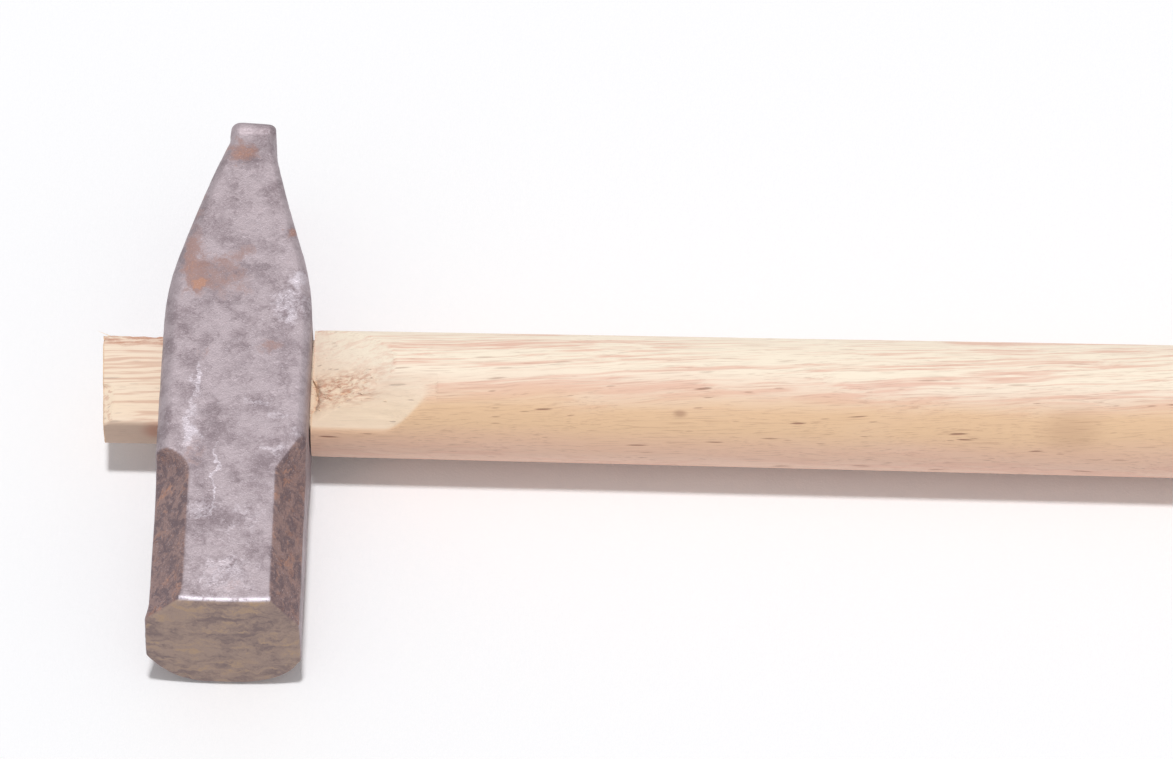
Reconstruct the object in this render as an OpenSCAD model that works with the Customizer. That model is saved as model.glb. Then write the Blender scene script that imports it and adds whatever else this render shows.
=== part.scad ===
// Cross-peen smith's hammer on a round wooden haft, lying on one cheek.
// The haft runs along +X, the peen points along +Y and the striking face looks along -Y.
// The origin is on the lower cheek, straight below the middle of the eye. Millimetres.

/* [Head] */
// Width of the square body, from the side the tenon leaves to the side the haft enters
head_w = 29.4; // [27:0.2:36]
// Thickness of the head, from cheek to cheek
head_h = 29.3; // [28:0.1:36]
// Distance from the middle of the eye to the top of the crowned striking face
face_reach = 58.8; // [50:0.2:70]
// Height of the crown on the striking face
face_crown = 0.8; // [0.2:0.1:2]
// Radius of the worn rim round the striking face
face_rim_r = 1.3; // [0.6:0.1:2.4]
// How far hammering has spread the metal behind the striking face
face_spread = 0.6; // [0:0.1:1.2]
// Length of the spread band behind the striking face
face_spread_len = 5; // [3:0.5:8]
// Radius of the worn long edges of the body
edge_r = 2.4; // [1:0.1:3.2]

/* [Corner bevels] */
// Width of the flat ground on the corners at the tenon side
bevel_left = 7; // [4:0.2:8.4]
// Width of the flat ground on the corners at the haft side
bevel_right = 5.6; // [4:0.2:8.4]
// Distance from the middle of the eye to where the bevels stop
bevel_stop = 21.8; // [18:0.2:30]
// Length of the scooped run-out at each stop
bevel_runout = 4.6; // [2:0.2:7]
// Radius of the crisp edges along the bevels
bevel_edge_r = 0.7; // [0.3:0.1:1]

/* [Peen] */
// Distance from the middle of the eye to the end of the peen
peen_reach = 55.2; // [48:0.2:70]
// Distance from the middle of the eye to where the straight flanks would meet the body
shoulder = 16.3; // [14:0.1:20]
// Radius of the curve that blends the body into the flanks
shoulder_r = 60; // [20:1:80]
// Width of the peen at its narrowest, just below the lip
peen_w = 9.3; // [6:0.1:14]
// Length of the lip that hammering has raised at the end of the peen
lip_len = 4.4; // [3:0.1:6]
// How far the lip stands out on each side
lip_spread = 0.35; // [0:0.05:1]
// Radius of the rounded end of the peen
peen_rim_r = 1.5; // [0.6:0.1:2.4]
// How far the end of the peen leans towards the haft
peen_lean = 1.5; // [0:0.1:3]
// Radius of the long edges at the end of the peen
peen_edge_r = 1.6; // [0.6:0.1:2]

/* [Haft] */
// Diameter of the haft beside the head
neck_d = 25; // [23:0.2:27]
// Diameter of the straight grip
grip_d = 26.4; // [23:0.2:28]
// Length of the slightly tapered stretch, from the head to the grip
neck_len = 175; // [120:1:240]
// Length of the straight grip, to the butt
grip_len = 103; // [60:1:160]
// Bevel round the sawn butt
butt_bevel = 1.2; // [0.4:0.1:3]
// Width of the tenon, along the head
tenon_w = 20.8; // [16:0.2:22]
// Thickness of the tenon, from cheek to cheek
tenon_t = 8.6; // [7:0.1:11]
// Radius of the corners of the tenon and the eye
tenon_corner_r = 1.2; // [0.6:0.1:2.4]
// How far the tenon stands out past the head
tenon_proud = 12.4; // [4:0.2:18]
// Length of the flats whittled on the haft beside the head
whittle_len = 19.2; // [12:0.2:30]

/* [Wedge] */
// Width of the iron wedge, along the head
wedge_w = 14; // [8:0.5:15]
// Thickness of the wedge at its struck end
wedge_t = 3; // [2:0.1:4]
// Thickness of the wedge at its driven tip
wedge_tip_t = 0.8; // [0.5:0.1:1.2]
// Length of the wedge
wedge_len = 23; // [14:0.5:30]
// Number of barbs on each broad side of the wedge
wedge_barbs = 3; // [1:1:5]
// Depth of each barb
wedge_barb = 0.3; // [0.1:0.05:0.4]

/* [Fits] */
// Clearance all round the tenon in the eye
eye_fit = 0.05; // [0.02:0.01:0.2]
// Gap between the shoulder of the haft and the head
shoulder_gap = 0.2; // [0.1:0.05:0.6]
// Clearance all round the wedge in the tenon
wedge_fit = 0.03; // [0.02:0.01:0.1]

/* [Hidden] */
$fn = 96;

// Height of the haft's axis above the lower cheek
axis_z = head_h / 2;
// The head's flat sides, along X
tenon_side = -head_w / 2;
haft_side = head_w / 2;
// The end of the tenon, the end of the taper and the butt, along X
tenon_end = tenon_side - tenon_proud;
grip_start = haft_side + neck_len;
butt = grip_start + grip_len;
// Where the whittled flats start and run out
flat_start = haft_side + shoulder_gap;
flat_end = flat_start + whittle_len;
// Where the flat of the striking face would be without its crown, along Y
face_edge = -face_reach + face_crown;
// Where the peen is narrowest, along Y
peen_neck = peen_reach - lip_len;
// Slope of the peen's flanks
flank_angle = atan((head_w - peen_w) / 2 / (peen_neck - shoulder));
// Distance along the head that the shoulder curve takes before and after the shoulder
shoulder_run = shoulder_r * tan(flank_angle / 2);
// Length that a cut runs past the surface it opens
past = 1;
// Steps in each eighth of a rounded cross-section
ARC_STEPS = 3;
// Leg of the corner that a worn round edge takes off, as a share of its radius
ROUND_LEG = 0.65;
// Distance from an octagon's corner to where its rounding starts, as a share of the radius
CORNER_RUN = tan(22.5);
// Sizes of the rings that shape the crowned face, as shares of its edge
CROWN_SHARES = [0.3, 0.6, 0.85];

// A ramp from 0 to 1 with soft ends
function smooth(t) = let (u = max(0, min(1, t))) u * u * (3 - 2 * u);

// Half the width of the head at a distance y along it
function half_width(y) =
    let (before = shoulder - shoulder_run)
    let (after = shoulder + shoulder_run * cos(flank_angle))
    y <= before ? head_w / 2 :
    y <= after ? head_w / 2 - shoulder_r + sqrt(shoulder_r ^ 2 - (y - before) ^ 2) :
    y <= peen_neck ? head_w / 2 - (y - shoulder) * tan(flank_angle) :
    peen_w / 2 + lip_spread * smooth(2 * (y - peen_neck) / lip_len);

// Extra half width behind the striking face
function spread(y) = face_spread * max(0, 1 - (y - face_edge) / face_spread_len) ^ 2;

// Sideways place of the head's middle line, which leans near the end of the peen
function lean(y) = peen_lean * max(0, (y - shoulder) / (peen_reach - shoulder)) ^ 4;

// How deep a bevel is at y, from 0 past its stop to 1 along its flat
function bevel_depth(y) =
    let (t = (y + bevel_stop + bevel_runout) / bevel_runout)
    t <= 0 ? 1 : t >= 1 ? 0 : sqrt(1 - t * t);

// Radius of the long edges at y
function worn_r(y) = edge_r + (peen_edge_r - edge_r) * smooth((y - shoulder) / (peen_reach - shoulder));

// One quarter of a rounded octagon: half width a, half height b, corner leg c, edge radius r
function quarter(a, b, c, r) = concat(
    [for (i = [0:ARC_STEPS]) let (t = 45 * i / ARC_STEPS)
        [a - r + r * cos(t), b - c - r * CORNER_RUN + r * sin(t)]],
    [for (i = [0:ARC_STEPS]) let (t = 45 + 45 * i / ARC_STEPS)
        [a - c - r * CORNER_RUN + r * cos(t), b - r + r * sin(t)]]);

// A quarter turned over, so that it runs on from the one before
function back(points) = [for (i = [len(points) - 1:-1:0]) points[i]];

// The head's outline across the length at y, drawn in by inset on every side
function outline(y, inset) =
    let (a = half_width(y) + spread(y) - inset)
    let (b = head_h / 2 - inset)
    let (d = bevel_depth(y))
    let (worn = worn_r(y))
    let (r = worn + (bevel_edge_r - worn) * d)
    let (right = quarter(a, b, ROUND_LEG * worn + (bevel_right - ROUND_LEG * worn) * d, r))
    let (left = quarter(a, b, ROUND_LEG * worn + (bevel_left - ROUND_LEG * worn) * d, r))
    concat(
        right,
        [for (p = back(left)) [-p.x, p.y]],
        [for (p = left) [-p.x, -p.y]],
        [for (p = back(right)) [p.x, -p.y]]);

// A ring of points across the head: the outline at y, scaled about the middle and put at place
function ring(y, inset, share, place) =
    [for (p = outline(y, inset)) [lean(y) + p.x * share, place, axis_z + p.y * share]];

// Where along the head a plain ring is needed
function stations() = concat(
    [for (i = [1:4]) face_edge + face_rim_r + face_spread_len * i / 4],
    [for (t = [0:15:90]) -bevel_stop - bevel_runout * (1 - sin(t))],
    [for (i = [0:8]) shoulder - shoulder_run + shoulder_run * (1 + cos(flank_angle)) * i / 8],
    [for (i = [1:5]) let (start = shoulder + shoulder_run * cos(flank_angle))
        start + (peen_neck - start) * i / 5],
    [for (i = [1:4]) peen_neck + (lip_len - peen_rim_r) * i / 4]);

// The whole forging without its eye, as rings joined from the striking face to the peen
module forging() {
    rings = concat(
        [for (share = CROWN_SHARES)
            ring(face_edge, face_rim_r, share, face_edge - face_crown * (1 - share * share))],
        [for (t = [0:18:90])
            ring(face_edge, face_rim_r * (1 - sin(t)), 1, face_edge + face_rim_r * (1 - cos(t)))],
        [for (y = stations()) ring(y, 0, 1, y)],
        [for (t = [22.5:22.5:90])
            ring(peen_reach - peen_rim_r, peen_rim_r * (1 - cos(t)), 1,
                peen_reach - peen_rim_r * (1 - sin(t)))]);
    n = len(rings[0]);
    last = len(rings) - 1;
    points = concat(
        [for (r = rings) each r],
        [[0, -face_reach, axis_z], [lean(peen_reach), peen_reach, axis_z]]);
    face_middle = n * (last + 1);
    peen_middle = face_middle + 1;
    sides = [for (j = [0:last - 1], i = [0:n - 1])
        let (k = (i + 1) % n)
        each [[j * n + i, j * n + k, (j + 1) * n + k], [j * n + i, (j + 1) * n + k, (j + 1) * n + i]]];
    face_cap = [for (i = [0:n - 1]) [face_middle, (i + 1) % n, i]];
    peen_cap = [for (i = [0:n - 1]) [peen_middle, last * n + i, last * n + (i + 1) % n]];
    polyhedron(points = points, faces = concat(sides, face_cap, peen_cap), convexity = 4);
}

// A rectangle with round corners, width along Y and height along Z, drawn out along +X
module rounded_bar(width, height, corner_r, length) {
    rotate([90, 0, 90]) linear_extrude(length) {
        square([width - 2 * corner_r, height], center = true);
        square([width, height - 2 * corner_r], center = true);
        for (x = [-1, 1], y = [-1, 1])
            translate([x * (width / 2 - corner_r), y * (height / 2 - corner_r)]) circle(corner_r);
    }
}

// The wedge's side view: barbs point back to its struck end, extra thickens it, lead lengthens that end
module wedge_profile(extra, lead) {
    step = wedge_len / wedge_barbs;
    slope = (wedge_t - wedge_tip_t) / 2 / wedge_len;
    last = wedge_barbs - 1;
    function half(i) = wedge_t / 2 - slope * step * i + extra;
    upper = [for (i = [0:last]) each [
        [step * i - (i == 0 ? lead : 0), half(i)],
        [step * (i + 1), half(i + 1) - (i < last ? wedge_barb : 0)]]];
    lower = [for (i = [len(upper) - 1:-1:0]) [upper[i].x, -upper[i].y]];
    polygon(concat(upper, lower));
}

// The wedge as a solid that starts at the end of the tenon and runs into it
module wedge_body(extra = 0, lead = 0) {
    translate([tenon_end, (wedge_w + 2 * extra) / 2, axis_z])
        rotate([90, 0, 0]) linear_extrude(wedge_w + 2 * extra) wedge_profile(extra, lead);
}

// The round stock of the haft, from the head to the butt
module round_stock() {
    translate([flat_start, 0, axis_z]) rotate([0, 90, 0])
        cylinder(h = grip_start - flat_start, d1 = neck_d, d2 = grip_d);
    translate([grip_start, 0, axis_z]) rotate([0, 90, 0])
        cylinder(h = grip_len - butt_bevel, d = grip_d);
    translate([butt - butt_bevel, 0, axis_z]) rotate([0, 90, 0])
        cylinder(h = butt_bevel, d1 = grip_d, d2 = grip_d - 2 * butt_bevel);
}

// What whittling leaves of the round stock: a block that thins to the tenon beside the head
module whittled_block() {
    full = max(neck_d, grip_d) / 2 + past;
    rise = (neck_d - tenon_t) / 2 / whittle_len;
    run = (full - tenon_t / 2) / rise;
    side = [[flat_start, tenon_t / 2], [flat_start + run, full], [butt + past, full]];
    translate([0, full, axis_z]) rotate([90, 0, 0]) linear_extrude(2 * full)
        polygon(concat(side, [for (i = [len(side) - 1:-1:0]) [side[i].x, -side[i].y]]));
}

module hammer_head() {
    color([0.46, 0.40, 0.41]) difference() {
        forging();
        translate([tenon_side - past, 0, axis_z])
            rounded_bar(tenon_w + 2 * eye_fit, tenon_t + 2 * eye_fit, tenon_corner_r + eye_fit,
                head_w + 2 * past);
    }
}

module haft() {
    color([0.87, 0.72, 0.53]) difference() {
        union() {
            intersection() {
                round_stock();
                whittled_block();
            }
            translate([tenon_end, 0, axis_z])
                rounded_bar(tenon_w, tenon_t, tenon_corner_r, flat_end - tenon_end);
        }
        wedge_body(wedge_fit, past);
    }
}

module end_wedge() {
    color([0.40, 0.38, 0.37]) wedge_body();
}

hammer_head();
haft();
end_wedge();
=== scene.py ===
"""Looks of a smith's cross-peen hammer on a round wooden haft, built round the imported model.

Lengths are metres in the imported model's frame: the haft runs along +X, the peen points along +Y
and the lower cheek rests on the floor at z = 0.
"""

import bmesh
import bpy
import numpy as np
from bpy.props import FloatProperty, FloatVectorProperty, PointerProperty
from mathutils import Matrix, Vector, noise


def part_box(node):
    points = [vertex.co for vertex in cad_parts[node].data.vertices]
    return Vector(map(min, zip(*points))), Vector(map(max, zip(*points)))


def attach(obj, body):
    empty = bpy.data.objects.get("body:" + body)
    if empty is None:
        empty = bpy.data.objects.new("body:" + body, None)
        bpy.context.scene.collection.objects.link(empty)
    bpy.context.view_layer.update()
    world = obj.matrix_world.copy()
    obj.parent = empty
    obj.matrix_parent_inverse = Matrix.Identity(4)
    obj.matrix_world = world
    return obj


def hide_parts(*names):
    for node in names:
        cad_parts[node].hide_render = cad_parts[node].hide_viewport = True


bl_info = {
    "name": "Smith's hammer",
    "version": (1, 0, 0),
    "blender": (4, 5, 0),
    "location": "View3D > Sidebar > Hammer",
    "description": "Builds a forged hammer head, its wooden haft and its iron wedge",
    "category": "Object",
}

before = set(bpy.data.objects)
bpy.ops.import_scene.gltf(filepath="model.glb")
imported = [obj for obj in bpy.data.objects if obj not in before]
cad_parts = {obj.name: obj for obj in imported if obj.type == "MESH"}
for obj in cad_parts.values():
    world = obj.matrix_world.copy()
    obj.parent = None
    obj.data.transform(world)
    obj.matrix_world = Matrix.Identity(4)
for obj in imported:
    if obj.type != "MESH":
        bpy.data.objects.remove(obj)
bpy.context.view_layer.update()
HEAD_LOW, HEAD_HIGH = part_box("hammer_head")
HAFT_LOW, HAFT_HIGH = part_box("haft")
WEDGE_LOW, WEDGE_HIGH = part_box("end_wedge")

MM = 0.001
AXIS = np.array([0, 0, (HEAD_LOW.z + HEAD_HIGH.z) / 2])
HALF_HEIGHT = (HEAD_HIGH.z - HEAD_LOW.z) / 2
GRIP_R = (HAFT_HIGH.z - HAFT_LOW.z) / 2

# Faces round the length of a bar or wedge, and the steepest fold that a cut piece shades smoothly
BAR_SIDES = 96
SMOOTH_FOLD = np.radians(50)
# A direction that no raised fibre follows
NO_FIBRE_WAY = (0.3, 0.2, 1)
# How fast a cloud's finer layers fade, how much finer each is, and how far one seed lies from the next
CLOUD_FADE, CLOUD_STEP, SEED_STEP = 0.7, 2, 17.3

# Soft patches on the upper cheek: X, Y, half width and half length in millimetres, then strength
RUST_PATCHES = (
    (-4, 17.5, 10, 8, 0.22), (-9.5, 22, 4, 9, 0.2), (9.4, 28.4, 2.2, 3.4, 0.34),
    (-7.9, 15.3, 1.6, 1.8, 0.4), (-0.5, 47.4, 6, 4.6, 0.34), (7.3, 1.4, 5, 2.6, 0.2),
    (0.8, 23.5, 4, 3, 0.16), (-9.5, 35, 3, 16, 0.18),
    (-6, 0.4, 3, 3, 0.12), (-7, -24, 3.5, 6, 0.14), (1, -52, 9, 7, 0.08),
)
RUBBED_PATCHES = (
    (10.5, 11.5, 6, 7.5, 0.3), (12, 17.2, 4, 2.6, 0.3), (-7.6, -12, 2, 13, 0.26), (-8, -20, 2.4, 5, 0.26),
    (4.6, -11.7, 4, 1.6, 0.26), (9.6, -14, 5, 1.6, 0.28), (12, -18, 2, 4, 0.22), (8, -22, 5, 2, 0.22),
    (-5.2, -36, 5, 4, 0.26), (3, -38, 8, 8, 0.16), (0, -51, 10, 8, 0.24), (-7.4, -4.3, 1.4, 5, 0.22),
    (8, 24, 4, 8, 0.1), (-2.8, -28, 0.7, 12, 0.34),
)
# Half height of those patches in millimetres, and the share of any patch or spot that is whole
PATCH_HEIGHT, PATCH_CORE, SPOT_CORE = 9, 0.2, 0.4
# Band over which the random choice of spots fades
SPOT_FADE = 0.05
# Depth of the relief on each finish, in millimetres
STEEL_RELIEF, WOOD_RELIEF, IRON_RELIEF, CLOTH_RELIEF = 0.25, 0.12, 0.2, 0.05

# Size in millimetres, detail and roughness of each noise in the steel, from broad to fine
SCALE_CLOUDS, SCALE_BLOTCHES = (7, 5, 0.65), (2.2, 6, 0.7)
SCALE_GRAIN, SCALE_SPECKS = (0.55, 3, 0.7), (0.28, 2, 0.6)
BEVEL_VEINS, FACE_STREAKS = (3.4, 4), ((7, 4, 1.6), 5, 0.65)
# The same in the wood: bands and lines along the grain, broad tone, torn edges and sawn end
GRAIN_BANDS, GRAIN_LINES = ((70, 2.6, 3.4), 3, 0.55), ((26, 0.7, 0.8), 3, 0.6)
GRAIN_FINE = ((9, 0.22, 0.22), 3, 0.6)
WOOD_TONE, TORN_EDGE, SAWN_END = ((60, 14, 14), 2, 0.5), ((3, 0.6, 0.6), 4, 0.7), ((6, 1.6, 5), 3)
# The same in the wedge's iron and the cloth
IRON_BLOTCHES, IRON_GRAIN, WEAVE = (1.6, 5, 0.7), (0.35, 3), (0.6, 3)
# Cell size in millimetres, radius in cells and share shown of long pores, short pores and cut fibres
PORES, SHORT_PORES = ((15, 1.25, 1.25), 0.2, 0.55), ((8, 0.9, 0.9), 0.17, 0.6)
CUT_FIBRES = ((0.5, 0.5, 0.5), 0.3, 0.7)
# Size in millimetres, detail and reach of what bends the edges of the scale, and sways the grain
BENDING, SWAYING = (3.5, 3, 7), ((38, 9, 9), 2, 3.2)
# Steps in millimetres that part one noise from another of the same kind
STREAK_STEP, PORE_STEP = (31, 7, 3), (40, 9, 4)

# Turn of the grain against the haft, and the way from the haft's middle to its palest side, where the
# wood's own pale tone lies under a painted sheen of the overhead light
GRAIN_SLANT = float(np.radians(-3.6))
PALE_SHEEN_SIDE = (0, 0.5, 0.866)
# Middle and half sizes in millimetres of a knot, a darker streak and the stain low on the tenon
KNOT, STREAK = ((87.4, -8.6, 9.2), (2, 1.1, 1.1)), ((164, -9, 7), (9, 6, 7))
TENON_STAIN = ((-15.5, -10.4, 1.5), (4, 1.5, 4))
# Where the painted shade on the tenon's near side begins and where it is full, in millimetres across the
# haft
SHADED_NEAR_SIDE = (-9.6, -10.3)


def length(name, description, default):
    """A length that a user may change, in metres."""
    return FloatProperty(
        name=name, description=description, default=default, min=0, precision=5,
        subtype="DISTANCE", unit="LENGTH",
    )


def angle(name, description, degrees):
    """An angle that a user may change."""
    return FloatProperty(
        name=name, description=description, default=np.radians(degrees), subtype="ANGLE", unit="ROTATION"
    )


def colour(name, description, *srgb):
    """A colour that a user may change, from its everyday 0 to 255 values."""
    share = np.array(srgb) / 255
    linear = np.where(share <= 0.04045, share / 12.92, ((share + 0.055) / 1.055) ** 2.4)
    return FloatVectorProperty(
        name=name, description=description, default=tuple(linear), size=3, min=0, max=1, subtype="COLOR"
    )


class HeadSizes(bpy.types.PropertyGroup):
    """Sizes of the forged head."""

    width: length("Width", "Width of the square body", 29.4 * MM)
    shoulder: length("Shoulder", "Where the flanks would meet the body", 16.3 * MM)
    shoulder_r: length("Shoulder radius", "Curve from the body into the flanks", 60 * MM)
    peen_w: length("Peen width", "Width of the peen below its lip", 9 * MM)
    lip: length("Lip length", "Length of the hammered lip of the peen", 2.4 * MM)
    lean: length("Peen lean", "How far the peen leans towards the haft", 1.3 * MM)
    edge_r: length("Edge radius", "Radius of the worn long edges", 2.4 * MM)
    crown: length("Face crown", "Height of the crown on the striking face", 0.8 * MM)
    slant: length("Face slant", "How much further the face reaches at its foot", 1.5 * MM)
    spread_left: length("Left spread", "How far blows have spread the face's left side", 1.4 * MM)
    spread_right: length("Right spread", "How far blows have spread the face's right side", 0.3 * MM)


class HaftSizes(bpy.types.PropertyGroup):
    """Sizes of the wooden haft."""

    neck_d: length("Neck diameter", "Diameter beside the head", 25 * MM)
    taper: length("Taper length", "Length of the tapered stretch", 175 * MM)
    tenon_w: length("Tenon width", "Width of the tenon along the head", 20.8 * MM)
    tenon_t: length("Tenon thickness", "Thickness of the tenon", 8.6 * MM)
    tenon_r: length("Tenon corner", "Radius of the tenon's corners", 1.2 * MM)
    shoulder: length("Shoulder", "Where the round stock starts, along the haft", 14.9 * MM)
    whittled: length("Whittled length", "Length of the knife cuts beside the head", 19.2 * MM)
    butt_bevel: length("Butt bevel", "Bevel round the sawn butt", 1.2 * MM)
    gap: length("Eye gap", "Gap between the tenon and the eye", 0.15 * MM)


class Finishes(bpy.types.PropertyGroup):
    """Colours of the worn steel, the wood and the iron wedge."""

    steel: colour("Steel", "Handled forge scale on the cheeks", 170, 157, 162)
    steel_dark: colour("Dark scale", "Darker patches of scale", 132, 118, 123)
    # Rubbed steel also lays the painted glints of the specks, and part of the bright rim along the face's
    # top as painted highlight
    steel_pale: colour("Rubbed steel", "Paler steel where the scale has rubbed off", 226, 218, 228)
    rust: colour("Rust", "Thin red-brown rust", 166, 124, 112)
    rust_bright: colour("Bright rust", "Orange spots of fresh rust", 206, 150, 118)
    bevel: colour("Bevel scale", "Brown scale on the corner bevels", 152, 126, 122)
    bevel_dark: colour("Dark bevel", "Dark blotches on the corner bevels", 112, 94, 98)
    face: colour("Striking face", "Olive brown of the striking face", 170, 147, 135)
    face_dark: colour("Face blotches", "Dark blotches on the striking face", 134, 115, 113)
    face_ochre: colour("Face streaks", "Ochre streaks on the striking face", 194, 162, 126)
    # Cream is also the painted sheen along the haft's top, laid over the wood's own pale tone
    wood_cream: colour("Cream wood", "Palest wood, along the top", 253, 239, 218)
    wood_pink: colour("Pink wood", "Pinkish grain lines", 235, 192, 172)
    wood_tan: colour("Tan wood", "Yellow-brown wood, low on the near side", 238, 200, 162)
    # The pore brown also lays the painted shade on the tenon's near side
    wood_pore: colour("Pores", "Brown dashes of the open pores", 158, 112, 92)
    wood_stain: colour("Stain", "Red-brown stain in torn wood", 186, 112, 84)
    wood_end: colour("End grain", "Wood cut across the grain", 214, 178, 142)
    iron: colour("Wedge iron", "Dark iron of the wedge", 104, 94, 92)


class Studio(bpy.types.PropertyGroup):
    """Where the camera stands, and the colour of the floor."""

    target: FloatVectorProperty(
        name="Target", description="Point that the camera looks at",
        default=(0.06891, 0.00436, 0.015), subtype="XYZ",
    )
    distance: length("Distance", "Distance of the camera from its target", 1297.6 * MM)
    elevation: angle("Elevation", "Height of the camera above the floor", 58)
    yaw: angle("Yaw", "Turn of the camera about the vertical", -0.12)
    roll: angle("Roll", "Tilt of the camera about its own line of sight", 1.32)
    lens: length("Lens", "Focal length on a 36 mm sensor", 200.84 * MM)
    floor: colour("Floor", "Pale cloth under the hammer", 253, 253, 255)


class Wire:
    """A shader socket on which Python's arithmetic adds Math nodes."""

    def __init__(self, paint, socket):
        self.paint, self.socket = paint, socket

    def math(self, operation, first, second):
        """A Math node on two values, each a link or a number."""
        return self.paint.node("Math", {"operation": operation}, {0: first, 1: second})

    def __add__(self, other):
        return self.math("ADD", self, other)

    def __radd__(self, other):
        return self.math("ADD", other, self)

    def __sub__(self, other):
        return self.math("SUBTRACT", self, other)

    def __rsub__(self, other):
        return self.math("SUBTRACT", other, self)

    def __mul__(self, other):
        return self.math("MULTIPLY", self, other)

    def __rmul__(self, other):
        return self.math("MULTIPLY", other, self)

    def __or__(self, other):
        return self.math("MAXIMUM", self, other)


class Paint:
    """The node tree of one material or world, filled node by node."""

    def __init__(self, tree):
        self.tree = tree
        tree.nodes.clear()

    def node(self, kind, settings, values, out=0):
        """Adds a node: its type, its settings, then the values or links of its sockets."""
        made = self.tree.nodes.new("ShaderNode" + kind)
        for name, value in settings.items():
            setattr(made, name, value)
        for name, value in values.items():
            if isinstance(value, Wire):
                self.tree.links.new(value.socket, made.inputs[name])
            else:
                made.inputs[name].default_value = value
        return Wire(self, made.outputs[out]) if made.outputs else None

    def vector(self, operation, first, second, out=0):
        """A Vector Math node on two vectors, each a link or three numbers."""
        return self.node("VectorMath", {"operation": operation}, {0: first, 1: second}, out)

    def place(self):
        """The point on the object, in millimetres, with the haft's axis at height 0."""
        metres = self.node("TexCoord", {}, {}, "Object")
        return self.vector("MULTIPLY", self.vector("SUBTRACT", metres, tuple(AXIS)), (1 / MM,) * 3)

    def noise(self, place, size, detail=4, rough=0.6, out="Fac"):
        """Cloudy noise from 0 to 1. The size of its features is one length or three."""
        sizes = size if isinstance(size, tuple) else (size,) * 3
        scaled = self.vector("DIVIDE", place, sizes)
        values = {"Vector": scaled, "Scale": 1, "Detail": detail, "Roughness": rough}
        return self.node("TexNoise", {}, values, out)

    def wander(self, place, size, detail, reach):
        """A random step from each point, up to half the reach each way."""
        middled = self.vector("SUBTRACT", self.noise(place, size, detail, out="Color"), (0.5,) * 3)
        return self.node("VectorMath", {"operation": "SCALE"}, {0: middled, "Scale": reach})

    def spots(self, place, size, radius, amount):
        """Separate spots: 1 inside them and 0 outside. The amount is the share of them that shows."""
        cells = {"Vector": self.vector("DIVIDE", place, size), "Scale": 1}
        near = self.ramp(self.node("TexVoronoi", {}, cells, "Distance"), radius, radius * SPOT_CORE)
        kept = self.node("SeparateColor", {}, {0: self.node("TexVoronoi", {}, cells, "Color")}, 0)
        return near * self.ramp(kept, amount, amount - SPOT_FADE)

    def ramp(self, value, low, high, start=0.0, end=1.0):
        """A soft step from start to end, as the value goes from low to high."""
        values = {"Value": value, "From Min": low, "From Max": high, "To Min": start, "To Max": end}
        return self.node("MapRange", {"interpolation_type": "SMOOTHSTEP"}, values)

    def blend(self, share, first, second):
        """A colour between two others, each a link or a colour property."""
        ends = [c if isinstance(c, Wire) else (*c, 1) for c in (first, second)]
        return self.node("Mix", {"data_type": "RGBA"}, {0: share, 6: ends[0], 7: ends[1]}, 2)

    def layer(self, base, *layers):
        """A colour with others laid over it in turn, each by its own share."""
        for share, over in layers:
            base = self.blend(share, base, over)
        return base

    def patch(self, place, centre, radii):
        """1 at the centre of a soft oval patch, and 0 outside it."""
        off = self.vector("DIVIDE", self.vector("SUBTRACT", place, centre), radii)
        return self.ramp(self.vector("LENGTH", off, (0, 0, 0), "Value"), 1, PATCH_CORE)

    def patches(self, place, spots):
        """The sum of soft patches on the upper cheek, each of its own strength."""
        top = HALF_HEIGHT / MM
        return sum(strength * self.patch(place, (x, y, top), (across, along, PATCH_HEIGHT))
                   for x, y, across, along, strength in spots)

    def mark(self, name):
        """A value that the mesh carries at each point."""
        return self.node("Attribute", {"attribute_name": name}, {}, "Fac")

    def finish(self, base, metallic, roughness, height, depth):
        """Ends the material, with a relief from a height of 0 to 1 and a depth in millimetres."""
        bump = self.node("Bump", {}, {"Height": height, "Distance": depth * MM, "Strength": 1.0})
        values = {"Base Color": base, "Metallic": metallic, "Roughness": roughness, "Normal": bump}
        self.node("OutputMaterial", {}, {"Surface": self.node("BsdfPrincipled", {}, values)})


def new_paint(name):
    """A new material, and its empty node tree to fill."""
    material = bpy.data.materials.new(name)
    material.use_nodes = True
    return material, Paint(material.node_tree)


def smooth(low, high, value):
    """A soft step from 0 to 1, as the value goes from low to high."""
    share = np.clip((value - low) / (high - low), 0, 1)
    return share * share * (3 - 2 * share)


def round_off(first, second, radius):
    """The depth below the nearer of two surfaces, with the edge between them rounded."""
    a, b = first + radius, second + radius
    return np.hypot(np.maximum(a, 0), np.maximum(b, 0)) + np.minimum(np.maximum(a, b), 0) - radius


def cast(depth, start, reach, limit=1.6, steps=26):
    """The points where rays leave a shape, sought by halving up to a limit in lengths of their reach."""
    low, high = np.zeros(start.shape[:-1]), np.full(start.shape[:-1], limit)
    for _ in range(steps):
        middle = (low + high) / 2
        outside = depth(start + reach * middle[..., None]) > 0
        low, high = np.where(outside, low, middle), np.where(outside, middle, high)
    return start + reach * high[..., None]


def cloud(points, size, octaves=3, seed=0):
    """Noise from about -1 to 1 at each point. The size of its features is one length or three."""
    places = (points / np.asarray(size) + SEED_STEP * seed).reshape(-1, 3)
    values = [noise.fractal(Vector(p), CLOUD_FADE, CLOUD_STEP, octaves) for p in places.tolist()]
    return np.array(values).reshape(points.shape[:-1])


def waves(points, depth, size, octaves, seed, level=-1):
    """Relief of the given depth from a cloud, counted from one level of it."""
    return depth * (cloud(points, size, octaves, seed) - level)


def disc(rim, shares):
    """Rings inside a ring of points, at the given shares of the way from its middle."""
    middle = rim.mean(axis=0)
    return middle + (rim - middle) * np.asarray(shares)[:, None, None]


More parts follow.
